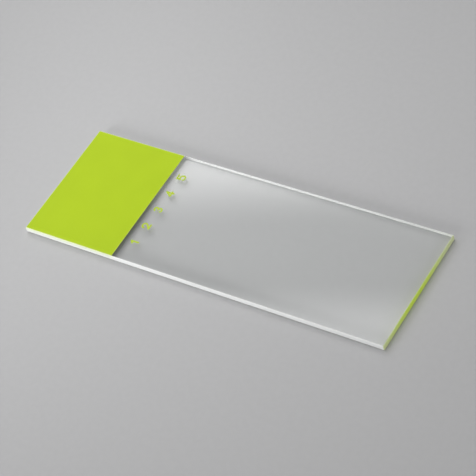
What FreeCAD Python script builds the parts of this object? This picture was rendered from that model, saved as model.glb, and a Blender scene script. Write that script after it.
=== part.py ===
# A microscope slide: a plate of clear glass with ground edges, one end of its top face coated with baked
# lime ink to write on, and five small digits printed on the glass beside the coat. All sizes are in
# millimetres. The origin is the centre of the underside, which lies on the plane z = 0. +X runs along the
# plate from the coated end to the bare end, +Y across it, and +Z up through its thickness.
import FreeCAD, Part
import os

import Sketcher
from FreeCAD import Vector

doc = FreeCAD.newDocument("microscope_slide")


# ---------------------------------------------------------------- sizes

sheet = doc.addObject("Spreadsheet::Sheet", "sizes")
sheet.Label = "sizes"

DRIVING_SIZES = [
    ("plate_length", 75.0, "length of the glass over its ground ends"),
    ("plate_width", 25.0, "width of the glass over its ground sides"),
    ("plate_thickness", 1.1, "thickness of the glass"),
    ("edge_arris", 0.12, "flat ground off every sharp edge of the glass"),
    ("coat_length", 19.5, "from the coated end of the glass to the inner edge of the coat"),
    ("coat_thickness", 0.025, "thickness of the baked coat"),
    ("print_thickness", 0.015, "thickness of the printed digits"),
    ("digit_gap", 1.4, "bare glass between the coat and the tops of the digits"),
    ("digit_height", 1.85, "height of a digit over its strokes"),
    ("digit_width", 1.3, "width of a digit over its strokes"),
    ("digit_stroke", 0.34, "width of one stroke"),
    ("digit_pitch", 4.0, "from one digit to the next across the plate"),
    ("row_shift", -0.35, "from the plate's middle to the middle of the row of digits"),
    ("one_flag", 0.42, "reach of the flag of the 1, sideways and down"),
    ("four_bar", 0.6, "height of the bar of the 4 above its foot"),
    ("four_stem", 0.2, "the stem of the 4, right of its middle"),
    ("five_neck", 0.08, "the neck of the 5, in from its left side"),
]

for row, (alias, value, meaning) in enumerate(DRIVING_SIZES, start=1):
    sheet.set(f"A{row}", meaning)
    sheet.set(f"B{row}", str(value))
    sheet.setAlias(f"B{row}", alias)
doc.recompute()


def size(alias):
    """The present value of one driving size, used to draw a sketch near its final shape."""
    return float(sheet.get(alias))


# ---------------------------------------------------------------- bodies and sketches

START, END, CENTRE = 1, 2, 3  # the points of a sketch edge
ORIGIN = (-1, 1)  # the sketch's own origin
VERTICAL_AXIS = -2
UP = Vector(0, 0, 1)


def new_body(name):
    body = doc.addObject("PartDesign::Body", name)
    body.Label = name
    return body


def sketch_on_base_plane(body, name):
    """A new sketch on the body's own XY plane."""
    base_plane = next(item for item in body.Origin.OriginFeatures if item.Role == "XY_Plane")
    sketch = body.newObject("Sketcher::SketchObject", name)
    sketch.AttachmentSupport = [(base_plane, "")]
    sketch.MapMode = "FlatFace"
    return sketch


def dimension(sketch, name, kind, where, value, expression):
    """Add a dimension to a sketch and tie it to the sheet."""
    index = sketch.addConstraint(Sketcher.Constraint(kind, *where, value))
    sketch.renameConstraint(index, name)
    sketch.setExpression(f"Constraints.{name}", expression)


def relate(sketch, kind, *where):
    sketch.addConstraint(Sketcher.Constraint(kind, *where))


def draw_rectangle(sketch, x_low, x_high, y_low, y_high):
    """Four edges joined at their ends: bottom, right, top and left."""
    corners = [
        Vector(x_low, y_low, 0),
        Vector(x_high, y_low, 0),
        Vector(x_high, y_high, 0),
        Vector(x_low, y_high, 0),
    ]
    edges = range(len(corners))
    for i in edges:
        sketch.addGeometry(Part.LineSegment(corners[i], corners[(i + 1) % len(corners)]), False)
    for i in edges:
        relate(sketch, "Coincident", i, END, (i + 1) % len(corners), START)
    bottom, right, top, left = edges
    relate(sketch, "Horizontal", bottom)
    relate(sketch, "Horizontal", top)
    relate(sketch, "Vertical", right)
    relate(sketch, "Vertical", left)
    return bottom, right, top, left


def pad(body, sketch, name, thickness):
    """Raise a sketch to the thickness that the expression gives."""
    feature = body.newObject("PartDesign::Pad", name)
    feature.Profile = sketch
    feature.setExpression("Length", thickness)
    sketch.Visibility = False
    return feature


# ---------------------------------------------------------------- glass plate

# Cut from drawn sheet glass, so both faces are fire-polished and flat. The four narrow faces are ground
# square to them, and every sharp edge is taken off with a small flat, the arris.

glass_plate = new_body("glass_plate")

outline = sketch_on_base_plane(glass_plate, "plate_outline")
half_length = size("plate_length") / 2
half_width = size("plate_width") / 2
bottom, right, top, left = draw_rectangle(outline, -half_length, half_length, -half_width, half_width)
relate(outline, "Symmetric", bottom, START, right, END, *ORIGIN)
dimension(outline, "length", "DistanceX", (bottom, START, bottom, END),
          size("plate_length"), "sizes.plate_length")
dimension(outline, "width", "DistanceY", (right, START, right, END),
          size("plate_width"), "sizes.plate_width")

blank = pad(glass_plate, outline, "cut_blank", "sizes.plate_thickness")
doc.recompute()

arris = glass_plate.newObject("PartDesign::Chamfer", "ground_arris")
arris.Base = (blank, ["Edge1"])
arris.UseAllEdges = True
arris.setExpression("Size", "sizes.edge_arris")
glass_plate.Tip = arris


# ---------------------------------------------------------------- colour coat

# One even field of ink, screen printed and baked on to the top face. It covers the flat of the face from
# the coated end to a straight inner edge, and stops at the arris on the other three sides.

colour_coat = new_body("colour_coat")

field = sketch_on_base_plane(colour_coat, "coat_field")
coat_run = size("coat_length") - size("edge_arris")
half_flat = size("plate_width") / 2 - size("edge_arris")
bottom, right, top, left = draw_rectangle(field, 0, coat_run, -half_flat, half_flat)
relate(field, "Symmetric", left, START, left, END, *ORIGIN)
dimension(field, "run", "DistanceX", (bottom, START, bottom, END),
          coat_run, "sizes.coat_length - sizes.edge_arris")
dimension(field, "across", "DistanceY", (right, START, right, END),
          2 * half_flat, "sizes.plate_width - 2 * sizes.edge_arris")

pad(colour_coat, field, "coat_layer", "sizes.coat_thickness")
colour_coat.setExpression("Placement.Base.x", "-sizes.plate_length / 2 + sizes.edge_arris")
colour_coat.setExpression("Placement.Base.z", "sizes.plate_thickness")


# ---------------------------------------------------------------- printed digits

# The digits 1 to 5, printed in the coat's ink in a row across the plate, with their tops to the coat.
# Each is drawn upright as the centreline of a pen stroke, with its foot on y = 0 and its middle on x = 0.
# The centreline is widened to the stroke, raised to the thickness of the print and then set in its column.

COLUMNS = ("one", "two", "three", "four", "five")

FOOT = "sizes.digit_stroke / 2"
HEAD = "sizes.digit_height - sizes.digit_stroke / 2"
SIDE = "(sizes.digit_width - sizes.digit_stroke) / 2"
LOBE = "(sizes.digit_height - sizes.digit_stroke) / 4"

foot = size("digit_stroke") / 2
head = size("digit_height") - size("digit_stroke") / 2
side = (size("digit_width") - size("digit_stroke")) / 2
lobe = (size("digit_height") - size("digit_stroke")) / 4


def centreline(digit, part):
    """An empty sketch for one stroke of a digit, set in that digit's column."""
    sketch = doc.addObject("Sketcher::SketchObject", f"{digit}_{part}")
    column = COLUMNS.index(digit) - len(COLUMNS) // 2
    sketch.setExpression("Placement.Base.x", f"{column} * sizes.digit_pitch")
    return sketch


def draw_line(sketch, x_from, y_from, x_to, y_to):
    return sketch.addGeometry(Part.LineSegment(Vector(x_from, y_from, 0), Vector(x_to, y_to, 0)), False)


def draw_arc(sketch, y_centre, radius, from_degrees, to_degrees):
    """An arc centred on the digit's middle line, drawn anticlockwise."""
    circle = Part.Circle(Vector(0, y_centre, 0), UP, radius)
    ends = [FreeCAD.Units.Quantity(angle, FreeCAD.Units.Angle).getValueAs("rad").Value
            for angle in (from_degrees, to_degrees)]
    arc = sketch.addGeometry(Part.ArcOfCircle(circle, *ends), False)
    relate(sketch, "PointOnObject", arc, CENTRE, VERTICAL_AXIS)
    return arc


def x_from_middle(sketch, name, edge, point, value, expression):
    """Hold a point of an edge to the right of the digit's middle line."""
    dimension(sketch, name, "DistanceX", (*ORIGIN, edge, point), value, expression)


def x_before_middle(sketch, name, edge, point, value, expression):
    """Hold a point of an edge to the left of the digit's middle line."""
    dimension(sketch, name, "DistanceX", (edge, point, *ORIGIN), value, expression)


def y_above_foot(sketch, name, edge, point, value, expression):
    """Hold a point of an edge above the line that the digits stand on."""
    dimension(sketch, name, "DistanceY", (*ORIGIN, edge, point), value, expression)


def printed_stroke(sketch):
    """The solid of ink that follows one centreline, with round ends."""
    edge = doc.addObject("Part::Offset2D", f"{sketch.Name}_edge")
    edge.Source = sketch
    edge.Mode = "Pipe"
    edge.Join = "Arc"
    edge.Fill = True
    edge.setExpression("Value", "sizes.digit_stroke / 2")
    ink = doc.addObject("Part::Extrusion", f"{sketch.Name}_ink")
    ink.Base = edge
    ink.DirMode = "Normal"
    ink.Solid = True
    ink.setExpression("LengthFwd", "sizes.print_thickness")
    return ink


def joined_strokes(digit, *strokes):
    """One solid of ink from two strokes that cross or meet."""
    fused = doc.addObject("Part::MultiFuse", f"{digit}_ink")
    fused.Shapes = list(strokes)
    fused.Refine = True
    return fused


def digit_one():
    stroke = centreline("one", "stroke")
    flag = size("one_flag")
    stem = draw_line(stroke, flag / 2, foot, flag / 2, head)
    arm = draw_line(stroke, flag / 2, head, -flag / 2, head - flag)
    relate(stroke, "Coincident", stem, END, arm, START)
    relate(stroke, "Vertical", stem)
    x_from_middle(stroke, "stem_side", stem, START, flag / 2, "sizes.one_flag / 2")
    y_above_foot(stroke, "stem_foot", stem, START, foot, FOOT)
    y_above_foot(stroke, "stem_head", stem, END, head, HEAD)
    dimension(stroke, "flag_reach", "DistanceX", (arm, END, arm, START), flag, "sizes.one_flag")
    dimension(stroke, "flag_drop", "DistanceY", (arm, END, arm, START), flag, "sizes.one_flag")
    return printed_stroke(stroke)


def digit_two():
    stroke = centreline("two", "stroke")
    bowl = draw_arc(stroke, head - side, side, -40, 180)
    slope = draw_line(stroke, side * 0.7, head - side * 1.7, -side, foot)
    base = draw_line(stroke, -side, foot, side, foot)
    relate(stroke, "Tangent", bowl, START, slope, START)
    relate(stroke, "Coincident", slope, END, base, START)
    relate(stroke, "Horizontal", base)
    relate(stroke, "Horizontal", bowl, CENTRE, bowl, END)
    dimension(stroke, "bowl_radius", "Radius", (bowl,), side, SIDE)
    y_above_foot(stroke, "bowl_centre", bowl, CENTRE, head - side, f"{HEAD} - {SIDE}")
    x_before_middle(stroke, "base_left", base, START, side, SIDE)
    x_from_middle(stroke, "base_right", base, END, side, SIDE)
    y_above_foot(stroke, "base_level", base, START, foot, FOOT)
    return printed_stroke(stroke)


def digit_three():
    upper = centreline("three", "upper")
    upper_lobe = draw_arc(upper, head - lobe, lobe, -90, 150)
    relate(upper, "Vertical", upper_lobe, CENTRE, upper_lobe, START)
    dimension(upper, "lobe_radius", "Radius", (upper_lobe,), lobe, LOBE)
    y_above_foot(upper, "lobe_centre", upper_lobe, CENTRE, head - lobe, f"{HEAD} - {LOBE}")
    dimension(upper, "tail_rise", "DistanceY", (upper_lobe, CENTRE, upper_lobe, END), lobe / 2, f"{LOBE} / 2")

    lower = centreline("three", "lower")
    lower_lobe = draw_arc(lower, foot + lobe, lobe, -150, 90)
    relate(lower, "Vertical", lower_lobe, CENTRE, lower_lobe, END)
    dimension(lower, "lobe_radius", "Radius", (lower_lobe,), lobe, LOBE)
    y_above_foot(lower, "lobe_centre", lower_lobe, CENTRE, foot + lobe, f"{FOOT} + {LOBE}")
    dimension(lower, "tail_fall", "DistanceY", (lower_lobe, START, lower_lobe, CENTRE), lobe / 2, f"{LOBE} / 2")
    return joined_strokes("three", printed_stroke(upper), printed_stroke(lower))


def digit_four():
    """Two bent strokes that share the slope: one goes on into the bar, the other into the stem."""
    stem_side = size("four_stem")
    bar_level = size("four_bar")

    def draw_slope(sketch):
        """The slope, from the peak down to the left end of the bar."""
        slope = draw_line(sketch, stem_side, head, -side, bar_level)
        x_from_middle(sketch, "peak_side", slope, START, stem_side, "sizes.four_stem")
        y_above_foot(sketch, "peak_level", slope, START, head, HEAD)
        x_before_middle(sketch, "bar_left", slope, END, side, SIDE)
        y_above_foot(sketch, "bar_level", slope, END, bar_level, "sizes.four_bar")
        return slope

    sail = centreline("four", "sail")
    slope = draw_slope(sail)
    bar = draw_line(sail, -side, bar_level, side, bar_level)
    relate(sail, "Coincident", slope, END, bar, START)
    relate(sail, "Horizontal", bar)
    x_from_middle(sail, "bar_right", bar, END, side, SIDE)

    mast = centreline("four", "mast")
    slope = draw_slope(mast)
    stem = draw_line(mast, stem_side, head, stem_side, foot)
    relate(mast, "Coincident", slope, START, stem, START)
    relate(mast, "Vertical", stem)
    y_above_foot(mast, "stem_foot", stem, END, foot, FOOT)
    return joined_strokes("four", printed_stroke(sail), printed_stroke(mast))


def digit_five():
    neck_side = side - size("five_neck")
    side_expression = f"{SIDE} - sizes.five_neck"
    neck_level = foot + side + (side**2 - neck_side**2) ** 0.5
    level_expression = f"{FOOT} + {SIDE} + sqrt({SIDE} ^ 2 - ({side_expression}) ^ 2)"

    cap = centreline("five", "cap")
    flag = draw_line(cap, side, head, -neck_side, head)
    neck = draw_line(cap, -neck_side, head, -neck_side, neck_level)
    relate(cap, "Coincident", flag, END, neck, START)
    relate(cap, "Horizontal", flag)
    relate(cap, "Vertical", neck)
    x_from_middle(cap, "flag_end", flag, START, side, SIDE)
    y_above_foot(cap, "flag_level", flag, START, head, HEAD)
    x_before_middle(cap, "neck_side", neck, END, neck_side, side_expression)
    y_above_foot(cap, "neck_level", neck, END, neck_level, level_expression)

    bowl = centreline("five", "bowl")
    curve = draw_arc(bowl, foot + side, side, -150, 140)
    dimension(bowl, "bowl_radius", "Radius", (curve,), side, SIDE)
    y_above_foot(bowl, "bowl_centre", curve, CENTRE, foot + side, f"{FOOT} + {SIDE}")
    x_before_middle(bowl, "bowl_start", curve, END, neck_side, side_expression)
    dimension(bowl, "tail_fall", "DistanceY", (curve, START, curve, CENTRE), side / 2, f"{SIDE} / 2")
    return joined_strokes("five", printed_stroke(cap), printed_stroke(bowl))


printed_digits = doc.addObject("Part::Compound", "printed_digits")
printed_digits.Label = "printed_digits"
printed_digits.Links = [digit_one(), digit_two(), digit_three(), digit_four(), digit_five()]

# A quarter turn points the tops at the coat, so that the row reads across the plate.
printed_digits.Placement = FreeCAD.Placement(Vector(0, 0, 0), FreeCAD.Rotation(UP, 90))
printed_digits.setExpression(
    "Placement.Base.x",
    "-sizes.plate_length / 2 + sizes.coat_length + sizes.digit_gap + sizes.digit_height",
)
printed_digits.setExpression("Placement.Base.y", "sizes.row_shift")
printed_digits.setExpression("Placement.Base.z", "sizes.plate_thickness")

doc.recompute()


# ---------------------------------------------------------------- checks and export

for item in doc.Objects:
    if "Invalid" in item.State or "Error" in item.State:
        raise RuntimeError(f"{item.Label} did not build: {item.State}")

SOLIDS_IN = {glass_plate: 1, colour_coat: 1, printed_digits: len(COLUMNS)}

for piece, expected in SOLIDS_IN.items():
    if piece.Shape.isNull() or not piece.Shape.isValid():
        raise RuntimeError(f"{piece.Label} has no valid shape")
    if len(piece.Shape.Solids) != expected:
        raise RuntimeError(f"{piece.Label} has {len(piece.Shape.Solids)} solids, not {expected}")

os.makedirs("parts", exist_ok=True)
for piece in SOLIDS_IN:
    piece.Shape.exportStep(f"parts/{piece.Label}.step")
    box = piece.Shape.BoundBox
    print(f"{piece.Label}: {box.XLength:.3f} x {box.YLength:.3f} x {box.ZLength:.3f} mm,"
          f" {piece.Shape.Volume:.4f} mm3")
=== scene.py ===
from math import pi, radians

import bpy
from mathutils import Matrix, Vector


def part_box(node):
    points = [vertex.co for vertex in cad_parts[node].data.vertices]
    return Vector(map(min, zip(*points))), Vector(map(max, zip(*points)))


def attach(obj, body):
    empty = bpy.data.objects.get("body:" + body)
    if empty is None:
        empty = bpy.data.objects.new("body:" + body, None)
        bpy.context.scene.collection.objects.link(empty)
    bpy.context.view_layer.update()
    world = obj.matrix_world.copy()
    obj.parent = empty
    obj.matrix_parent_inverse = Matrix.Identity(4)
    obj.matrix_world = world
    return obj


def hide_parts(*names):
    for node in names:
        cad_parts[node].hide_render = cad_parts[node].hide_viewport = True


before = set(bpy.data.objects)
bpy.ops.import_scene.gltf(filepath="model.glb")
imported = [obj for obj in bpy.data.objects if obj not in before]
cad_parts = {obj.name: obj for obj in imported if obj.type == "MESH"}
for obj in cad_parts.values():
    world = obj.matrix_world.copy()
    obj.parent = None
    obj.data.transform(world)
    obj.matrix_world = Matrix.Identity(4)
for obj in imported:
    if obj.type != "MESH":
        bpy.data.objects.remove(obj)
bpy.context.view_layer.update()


# ------------------------------------------------------------------ slide glass
# One plate of water-white glass, cut from drawn sheet, so that both faces keep their fire polish. The four
# narrow faces are ground matt on a fine wheel, and a small flat, the arris, takes off each sharp edge. The
# The coat's lime light, carried along the glass, is painted into the ground faces as a glow: a little
# beneath the coat, and most at the bare end of the plate.

MM = 0.001

plate_low, plate_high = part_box("glass_plate")
coat_low, coat_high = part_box("colour_coat")
ARRIS = coat_low.x - plate_low.x  # the coat starts where the arris of the coated end stops

LEVEL = 0.99  # a level face's normal has more of its length than this straight up or down

GLASS_INDEX = 1.52
GLASS_TINT = (0.985, 0.992, 0.987)
STRAIGHT_TINT = (0.95, 0.955, 0.952)  # what one polished face lets straight through
WAVES_PER_METRE = (40, 160, 40)
WAVE_HEIGHT = 0.0003 * MM

GROUND_WHITE = (0.89, 0.90, 0.89)
GRAIN_WHITE = (1.0, 1.0, 1.0)
STREAKS_PER_METRE = (700, 700, 14000)
GRAINS_PER_METRE = (9000, 9000, 9000)
STREAK_SHARE = 0.6
GRAIN_SHARE = 0.4
CUT_SPAN = (0.25, 0.75)
NOISE_SPAN = (0.3, 0.7)  # most of a noise lies between these
CUT_WHITENING = 0.16
GROUND_ROUGHNESS = (0.55, 0.75)
CUT_BUMP = 0.6
CUT_DEPTH = 0.008 * MM

# Painted glow: the coat's lime light, carried along the glass, painted into the ground faces' white beneath
# the coat.
UNDER_COAT_PAINTED_GLOW = (0.80, 0.87, 0.62)
TINGE_FADE = (coat_high.x - 0.3 * MM, coat_high.x + 0.6 * MM)  # where the painted glow beneath the coat dies away along the plate
TINGE_FOOT = 0.3 * MM  # up to this height the painted glow is only TINGE_AT_FOOT strong
TINGE_AT_FOOT = 0.1
# Painted glow at the bare end: the coat's lime light, carried along the glass, painted into the end's
# colour.
END_PAINTED_GLOW = (0.69, 0.91, 0.035)
END_PAINTED_GLOW_PALE = (0.70, 0.77, 0.40)
END_FADE = (plate_high.x - 1.2 * ARRIS, plate_high.x - 0.8 * ARRIS)  # over the inner line of its arris
GLOW_MIDDLE = -1.5 * MM  # across the plate
GLOW_FADE = (1.5 * MM, plate_high.y + 1.0 * MM)  # out from GLOW_MIDDLE


def start_box(name, low, high):
    """A box from corner to corner, to be shaped into a piece."""
    bpy.ops.object.select_all(action="DESELECT")
    bpy.ops.mesh.primitive_cube_add(size=1, location=(low + high) / 2, scale=high - low)
    piece = bpy.context.object
    piece.name = name
    bpy.ops.object.transform_apply(location=True, rotation=True, scale=True)
    return piece


def edit_faces(piece, wanted):
    """Go into edit mode on a piece with only the wanted faces selected."""
    bpy.context.view_layer.objects.active = piece
    bpy.ops.object.mode_set(mode="EDIT")
    bpy.ops.mesh.select_mode(type="FACE")
    bpy.ops.mesh.select_all(action="DESELECT")
    bpy.ops.object.mode_set(mode="OBJECT")
    for face in piece.data.polygons:
        face.select = wanted(face)
    bpy.ops.object.mode_set(mode="EDIT")


def node_adder(tree):
    """A function that adds nodes to a node tree, with a second one, feed, that fills a node's sockets."""

    def add(kind, inputs, **settings):
        """Add a node. inputs maps the place or name of each socket to its value or to what feeds it."""
        node = tree.nodes.new(kind)
        for key, value in settings.items():
            setattr(node, key, value)
        for place, value in inputs.items():
            feed(node, place, value)
        return node

    def feed(node, place, value):
        if isinstance(value, bpy.types.NodeSocket):
            tree.links.new(value, node.inputs[place])
        else:
            node.inputs[place].default_value = value

    add.feed = feed
    return add


def new_material(name):
    """A material, its Principled shader and a function that adds nodes to it."""
    material = bpy.data.materials.new(name)
    material.use_nodes = True
    nodes = material.node_tree.nodes
    add = node_adder(material.node_tree)
    add.output = nodes["Material Output"]
    return material, nodes["Principled BSDF"], add


def ramp(add, value, low, high, to_low=0.0, to_high=1.0):
    """A smooth step from to_low to to_high, as the value goes from low to high."""
    step = add(
        "ShaderNodeMapRange",
        {"Value": value, "From Min": low, "From Max": high, "To Min": to_low, "To Max": to_high},
        interpolation_type="SMOOTHSTEP",
    )
    return step.outputs["Result"]


def arith(add, operation, *values):
    """The sum, product or the like of some values, each a number or a socket."""
    return add("ShaderNodeMath", dict(enumerate(values)), operation=operation).outputs[0]


def blend(add, share, first, second):
    """Mix two colours, each a triple or a socket."""
    colours = [c if isinstance(c, bpy.types.NodeSocket) else (*c, 1) for c in (first, second)]
    mixed = add("ShaderNodeMix", {0: share, 6: colours[0], 7: colours[1]}, data_type="RGBA")
    return mixed.outputs[2]


def grain(add, scale, detail=2.0):
    """Noise over the object, centred on a half. scale is how many grains lie in a metre along each axis."""
    where = add("ShaderNodeTexCoord", {}).outputs["Object"]
    scaled = add("ShaderNodeMapping", {"Vector": where, "Scale": scale}).outputs[0]
    noise = add("ShaderNodeTexNoise", {"Vector": scaled, "Scale": 1.0, "Detail": detail})
    return noise.outputs["Fac"]


def object_axes(add):
    """How far along x, y and z each point of the piece lies."""
    where = add("ShaderNodeTexCoord", {}).outputs["Object"]
    return add("ShaderNodeSeparateXYZ", {0: where}).outputs


# The polished faces: clear, with the faint long waves of drawn sheet. Light from the lamps and light that
# the bench scatters go straight through, less what each face mirrors away.
polished, shader, add = new_material("polished glass")
add.feed(shader, "Base Color", (*GLASS_TINT, 1))
add.feed(shader, "Roughness", 0.0)
add.feed(shader, "IOR", GLASS_INDEX)
add.feed(shader, "Transmission Weight", 1.0)
draw_waves = grain(add, WAVES_PER_METRE, detail=0.0)
waves = add("ShaderNodeBump", {"Height": draw_waves, "Strength": 1.0, "Distance": WAVE_HEIGHT})
add.feed(shader, "Normal", waves.outputs[0])
light_path = add("ShaderNodeLightPath", {}).outputs
straight_through = arith(add, "MAXIMUM", light_path["Is Shadow Ray"], light_path["Is Diffuse Ray"])
clear = add("ShaderNodeBsdfTransparent", {"Color": (*STRAIGHT_TINT, 1)}).outputs[0]
surface = add("ShaderNodeMixShader", {0: straight_through, 1: shader.outputs[0], 2: clear})
add.feed(add.output, "Surface", surface.outputs[0])

# The ground faces: matt white, with streaks that run the way the wheel went, and fine bright grains.
ground, shader, add = new_material("ground glass")
x, y, z = object_axes(add)
# Painted glow: lime light carried from the coat, painted into the white beneath the coat, most near the
# top.
under_coat = ramp(add, x, *TINGE_FADE, 1.0, 0.0)
near_top = ramp(add, z, plate_low.z + TINGE_FOOT, plate_high.z, TINGE_AT_FOOT, 1.0)
painted_glow_under_coat = arith(add, "MULTIPLY", under_coat, near_top)
sides = blend(add, painted_glow_under_coat, GROUND_WHITE, UNDER_COAT_PAINTED_GLOW)
# Painted glow at the bare end, strongest across its middle and paler towards the corners.
at_bare_end = ramp(add, x, *END_FADE)
off_middle = arith(add, "ABSOLUTE", arith(add, "SUBTRACT", y, GLOW_MIDDLE))
glow = blend(add, ramp(add, off_middle, *GLOW_FADE), END_PAINTED_GLOW, END_PAINTED_GLOW_PALE)
tinted = blend(add, at_bare_end, sides, glow)
streaks = grain(add, STREAKS_PER_METRE, detail=3.0)
grains = grain(add, GRAINS_PER_METRE, detail=2.0)
streak_part = arith(add, "MULTIPLY", streaks, STREAK_SHARE)
grain_part = arith(add, "MULTIPLY", grains, GRAIN_SHARE)
cut = arith(add, "ADD", streak_part, grain_part)
shaded = blend(add, ramp(add, cut, *CUT_SPAN, 0.0, CUT_WHITENING), tinted, GRAIN_WHITE)
add.feed(shader, "Base Color", shaded)
add.feed(shader, "Roughness", ramp(add, grains, *NOISE_SPAN, *GROUND_ROUGHNESS))
add.feed(shader, "IOR", GLASS_INDEX)
cut_marks = add("ShaderNodeBump", {"Height": cut, "Strength": CUT_BUMP, "Distance": CUT_DEPTH})
add.feed(shader, "Normal", cut_marks.outputs[0])

plate = start_box("slide_glass", plate_low, plate_high)
bpy.ops.object.mode_set(mode="EDIT")
bpy.ops.mesh.select_all(action="SELECT")
bpy.ops.mesh.bevel(offset=ARRIS, segments=1, affect="EDGES")
bpy.ops.object.mode_set(mode="OBJECT")
plate.data.materials.append(polished)
plate.data.materials.append(ground)
edit_faces(plate, lambda face: abs(face.normal.z) < LEVEL)
plate.active_material_index = 1
bpy.ops.object.material_slot_assign()
bpy.ops.object.mode_set(mode="OBJECT")
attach(plate, "root")
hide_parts("glass_plate")


# ------------------------------------------------------------------ lime coat
# The field to write on: one even film of opaque lime ink, screen printed on the glass and baked. The ink
# dries to a low bead along its rim. It is painted a shade paler there: partly for the ink that thins to
# nothing, and partly as a painted highlight where the rim catches the light.

INK_KEYED = 0.004 * MM  # the ink is bonded to the glass, so its underside has no air behind it
LIME = (0.42, 0.577, 0.008)
LIME_PALE = (0.53, 0.66, 0.10)
CLOUDS_PER_METRE = (150, 150, 150)
CLOUD_SHADE = 0.015  # how much darker and lighter the ink is in its clouds
SPECKS_PER_METRE = (5200, 5200, 5200)
SPECK_SPAN = (0.55, 0.8)
SPECK_PALENESS = 0.12
INK_ROUGHNESS = (0.42, 0.5)
INK_SPECULAR = 0.15
PEEL_BUMP = 0.35
PEEL_HEIGHT = 0.006 * MM

BEAD = 0.14 * MM
BEAD_DROP = 0.003 * MM
RIM_ROUND = 0.010 * MM
# The rim is painted paler, partly for the thinner ink and partly as a painted highlight.
RIM_FADE = 1.4 * BEAD  # past this far in, the coat is no longer paler
RIM_PALE_AND_HIGHLIGHT = 0.8


def shade(colour, part):
    """A colour made lighter by a part of itself, or darker where the part is negative."""
    return [channel * (1 + part) for channel in colour]


def ink_material(name, pale_and_highlight):
    """Baked lime ink, satin, with the print of the mesh in it. The argument says where it is painted paler,
    for thinner ink and as a painted highlight.
    """
    material, shader, add = new_material(name)
    cloud = grain(add, CLOUDS_PER_METRE, detail=1.0)
    speck = grain(add, SPECKS_PER_METRE, detail=1.0)
    body = blend(add, ramp(add, cloud, *NOISE_SPAN), shade(LIME, -CLOUD_SHADE), shade(LIME, CLOUD_SHADE))
    body = blend(add, ramp(add, speck, *SPECK_SPAN, 0.0, SPECK_PALENESS), body, LIME_PALE)
    # Painted paler where the mask says: thinner ink, and a painted highlight on the rim.
    add.feed(shader, "Base Color", blend(add, pale_and_highlight(add), body, LIME_PALE))
    add.feed(shader, "Roughness", ramp(add, speck, *NOISE_SPAN, *INK_ROUGHNESS))
    add.feed(shader, "Specular IOR Level", INK_SPECULAR)
    peel = add("ShaderNodeBump", {"Height": speck, "Strength": PEEL_BUMP, "Distance": PEEL_HEIGHT})
    add.feed(shader, "Normal", peel.outputs[0])
    return material


def coat_rim(add):
    """How much paler the coat is painted, for thinner ink and as a painted highlight: most at its rim, and
    not at all past the bead.
    """
    x, y = object_axes(add)[:2]
    to_coated_end = arith(add, "SUBTRACT", x, coat_low.x)
    to_inner_edge = arith(add, "SUBTRACT", coat_high.x, x)
    to_ends = arith(add, "MINIMUM", to_coated_end, to_inner_edge)
    to_sides = arith(add, "SUBTRACT", coat_high.y, arith(add, "ABSOLUTE", y))
    to_rim = arith(add, "MINIMUM", to_ends, to_sides)
    return ramp(add, to_rim, 0.0, RIM_FADE, RIM_PALE_AND_HIGHLIGHT, 0.0)


coat = start_box("lime_coat", coat_low - Vector((0, 0, INK_KEYED)), coat_high)
edit_faces(coat, lambda face: face.normal.z > LEVEL)
bpy.ops.mesh.bevel(offset=RIM_ROUND, segments=3, affect="EDGES")
bpy.ops.object.mode_set(mode="OBJECT")
edit_faces(coat, lambda face: face.normal.z > LEVEL)
bpy.ops.mesh.inset(thickness=BEAD / 2, depth=0)
bpy.ops.mesh.inset(thickness=BEAD / 2, depth=-BEAD_DROP)
bpy.ops.object.mode_set(mode="OBJECT")
coat.data.materials.append(ink_material("baked lime ink", coat_rim))
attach(coat, "root")
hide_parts("colour_coat")


# ------------------------------------------------------------------ lime digits
# Five small plain digits, printed beside the coat in the same ink and baked with it. Each is a thin raised
# film whose strokes have round ends, and whose edges have slumped a little.

STROKE_PALE_AND_HIGHLIGHT = 0.3  # a line this narrow is all rim, so it is painted paler all over: thinner ink and a painted highlight
STROKE_ROUND = 0.005 * MM
WELD = 0.0005 * MM

digits = bpy.data.objects.new("lime_digits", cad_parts["printed_digits"].data.copy())
bpy.context.scene.collection.objects.link(digits)
digits.data.materials.clear()
bpy.ops.object.select_all(action="DESELECT")
digits.select_set(True)
bpy.context.view_layer.objects.active = digits
bpy.ops.object.mode_set(mode="EDIT")
bpy.ops.mesh.select_all(action="SELECT")
bpy.ops.mesh.remove_doubles(threshold=WELD)
bpy.ops.mesh.dissolve_limited(angle_limit=radians(1))
bpy.ops.object.mode_set(mode="OBJECT")
edit_faces(digits, lambda face: face.normal.z > LEVEL)
bpy.ops.mesh.bevel(offset=STROKE_ROUND, segments=2, affect="EDGES")
bpy.ops.object.mode_set(mode="OBJECT")
edit_faces(digits, lambda face: face.normal.z < -LEVEL)
bpy.ops.transform.translate(value=(0, 0, -INK_KEYED))
bpy.ops.object.mode_set(mode="OBJECT")
digits.data.materials.append(ink_material("printed lime ink", lambda add: STROKE_PALE_AND_HIGHLIGHT))
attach(digits, "root")
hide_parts("printed_digits")


# ------------------------------------------------------------------ bench, lamps and camera
# A plain pale bench of painted board, which runs up into a backdrop of the same tone, in a soft pale room.
# Two soft boxes beyond the slide show in its polish. One to its right and three small spots around it light
# the ground faces and the ink.

BENCH_GREY = (0.50, 0.50, 0.505)
BENCH_SIZE = 8
FIBRES_PER_METRE = (900, 900, 900)
FIBRE_SHADE = 0.01
BENCH_ROUGHNESS = 0.9
BENCH_SPECULAR = 0.2
AIR_GAP = 0.03 * MM
SWEEP = (0.12, 0.34)  # where the bench turns into the backdrop, out from the slide's middle
ROOM_FILL = 0.25


def looked_at(add):
    """One for what is seen, straight or in a polished face, and nothing for light that is scattered."""
    path = add("ShaderNodeLightPath", {}).outputs
    mirrored = arith(add, "MAXIMUM", path["Is Glossy Ray"], path["Is Transmission Ray"])
    return arith(add, "MAXIMUM", mirrored, path["Is Camera Ray"])


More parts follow.
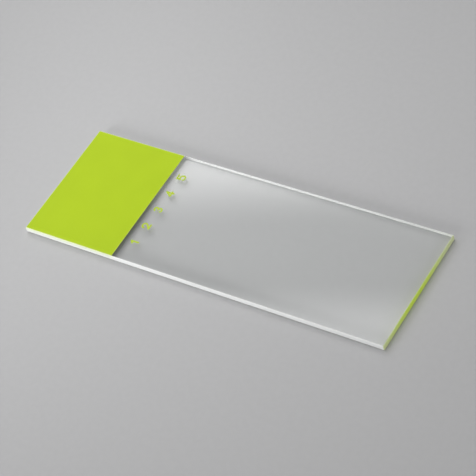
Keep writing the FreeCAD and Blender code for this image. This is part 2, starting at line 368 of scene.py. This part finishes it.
bpy.ops.object.select_all(action="DESELECT")
bpy.ops.mesh.primitive_plane_add(size=BENCH_SIZE, location=(0, 0, plate_low.z - AIR_GAP))
bench = bpy.context.object
bench.name = "bench"
board, shader, add = new_material("pale board")
fibres = grain(add, FIBRES_PER_METRE, detail=2.0)
dark_fibre, light_fibre = shade(BENCH_GREY, -FIBRE_SHADE), shade(BENCH_GREY, FIBRE_SHADE)
tone = blend(add, ramp(add, fibres, *NOISE_SPAN), dark_fibre, light_fibre)
add.feed(shader, "Base Color", tone)
add.feed(shader, "Roughness", BENCH_ROUGHNESS)
add.feed(shader, "Specular IOR Level", BENCH_SPECULAR)
where = add("ShaderNodeTexCoord", {}).outputs["Object"]
distance = add("ShaderNodeVectorMath", {0: where}, operation="LENGTH").outputs["Value"]
far = arith(add, "MULTIPLY", ramp(add, distance, *SWEEP), looked_at(add))
sweep = add("ShaderNodeEmission", {"Color": (*BENCH_GREY, 1), "Strength": 1.0}).outputs[0]
surface = add("ShaderNodeMixShader", {0: far, 1: shader.outputs[0], 2: sweep})
add.feed(add.output, "Surface", surface.outputs[0])
board.cycles.emission_sampling = "NONE"
bench.data.materials.append(board)

room = bpy.data.worlds.new("room")
bpy.context.scene.world = room
room.use_nodes = True
add = node_adder(room.node_tree)
fill = room.node_tree.nodes["Background"]
add.feed(fill, "Color", (1, 1, 1, 1))
add.feed(fill, "Strength", ROOM_FILL)
backdrop = add("ShaderNodeBackground", {"Color": (*BENCH_GREY, 1), "Strength": 1.0}).outputs[0]
surface = add("ShaderNodeMixShader", {0: looked_at(add), 1: fill.outputs[0], 2: backdrop})
add.feed(room.node_tree.nodes["World Output"], "Surface", surface.outputs[0])


def hang(name, lamp, place, turn, mirrored):
    """Put up a lamp. Only a mirrored one shows in what is polished, and none is in the view."""
    fitting = bpy.data.objects.new(name, lamp)
    bpy.context.scene.collection.objects.link(fitting)
    fitting.matrix_world = Matrix.Translation(place) @ turn.to_4x4()
    fitting.visible_camera = False
    fitting.visible_glossy = mirrored
    fitting.visible_transmission = mirrored


def soft_box(name, place, back, side, size, radiance, mirrored=False):
    """A soft box whose light leaves it against back. side is the way that its width runs."""
    lamp = bpy.data.lights.new(name, "AREA")
    lamp.shape = "RECTANGLE"
    lamp.size = size[0]
    lamp.size_y = size[1]
    lamp.energy = radiance * pi * size[0] * size[1]
    back = back.normalized()
    side = (side - back * side.dot(back)).normalized()
    hang(name, lamp, place, Matrix((side, back.cross(side), back)).transposed(), mirrored)
    return lamp


def soften(lamp, near_fade, far_fade):
    """Let a soft box fade to nothing over the given parts of its height, at its near and its far edge."""
    lamp.use_nodes = True
    add = node_adder(lamp.node_tree)
    place = add("ShaderNodeNewGeometry", {}).outputs["Parametric"]
    height = add("ShaderNodeSeparateXYZ", {0: place}).outputs["Y"]
    near = ramp(add, height, 0.0, near_fade)
    far = ramp(add, height, 1.0, 1.0 - far_fade)
    add.feed(lamp.node_tree.nodes["Emission"], "Strength", arith(add, "MULTIPLY", near, far))


SNOOT_RADIUS = 0.05


def snoot(name, place, target, power, spread):
    """A small soft spot that lights the slide and spares the bench around it. spread is in degrees."""
    lamp = bpy.data.lights.new(name, "SPOT")
    lamp.energy = power
    lamp.spot_size = radians(spread)
    lamp.spot_blend = 1.0
    lamp.shadow_soft_size = SNOOT_RADIUS
    hang(name, lamp, place, (target - place).to_track_quat("-Z", "Y").to_matrix(), False)


MIRRORED = Vector((-0.502, 0.470, 0.7265))  # where the top face shows the room to the camera
STRIP_RUN = Vector((0.821, 0.529, 0.225))
OVERHEAD_RUN = Vector((0.838, 0.496, 0.258))
UP = Vector((0, 0, 1))
STRIP_PLACE = MIRRORED * 0.40 + MIRRORED.cross(STRIP_RUN) * 0.048
OVERHEAD_PLACE = MIRRORED * 0.60 - MIRRORED.cross(OVERHEAD_RUN) * 0.324
RIGHT_PLACE = Vector((0.30, 0.09, 0.11))
FRONT_LEFT_PLACE = Vector((-0.10, -0.19, 0.06))
BACK_LEFT_PLACE = Vector((-0.12, 0.10, 0.09))
FRONT_RIGHT_PLACE = Vector((0.04, -0.25, 0.08))
FRONT_LEFT_CORNER = Vector((plate_low.x, plate_low.y, 0))
BACK_LEFT_CORNER = Vector((coat_low.x, coat_high.y, 0))
BACK_EDGE_RIGHT = Vector((0.028, plate_high.y, 0))

# The strip and the overhead box show in the top face, each with a soft edge. The others only give light.
strip = soft_box("strip", STRIP_PLACE, MIRRORED, STRIP_RUN, size=(0.46, 0.10), radiance=2.6, mirrored=True)
soften(strip, near_fade=0.27, far_fade=0.40)
overhead = soft_box(
    "overhead", OVERHEAD_PLACE, MIRRORED, -OVERHEAD_RUN, size=(0.8, 0.6), radiance=1.5, mirrored=True
)
soften(overhead, near_fade=0.04, far_fade=0.15)
soft_box("right", RIGHT_PLACE, RIGHT_PLACE, UP, size=(0.2, 0.2), radiance=1.6)
snoot("front_left", FRONT_LEFT_PLACE, FRONT_LEFT_CORNER, power=1.3, spread=44)
snoot("back_left", BACK_LEFT_PLACE, BACK_LEFT_CORNER, power=0.5, spread=44)
snoot("front_right", FRONT_RIGHT_PLACE, BACK_EDGE_RIGHT, power=1.0, spread=24)

CAMERA_LENS = 153.7
CAMERA_PLACE = (0.177353, -0.164625, 0.260114)
CAMERA_LOOK = Vector((-0.496942, 0.463525, -0.733617))
CAMERA_ROLL = radians(-20.71)
GLASS_BOUNCES = 24
CLEAR_BOUNCES = 32

camera_data = bpy.data.cameras.new("camera")
camera_data.sensor_width = 36
camera_data.lens = CAMERA_LENS
camera_data.clip_start = 0.01
camera = bpy.data.objects.new("camera", camera_data)
bpy.context.scene.collection.objects.link(camera)
camera.location = CAMERA_PLACE
camera.rotation_mode = "QUATERNION"
camera.rotation_quaternion = CAMERA_LOOK.to_track_quat("-Z", "Y")
camera.rotation_mode = "XYZ"
camera.rotation_euler.rotate_axis("Z", CAMERA_ROLL)
bpy.context.scene.camera = camera

scene = bpy.context.scene
scene.view_settings.view_transform = "Standard"
scene.cycles.max_bounces = GLASS_BOUNCES
scene.cycles.transmission_bounces = GLASS_BOUNCES
scene.cycles.transparent_max_bounces = CLEAR_BOUNCES
scene.cycles.caustics_reflective = False
scene.cycles.caustics_refractive = False
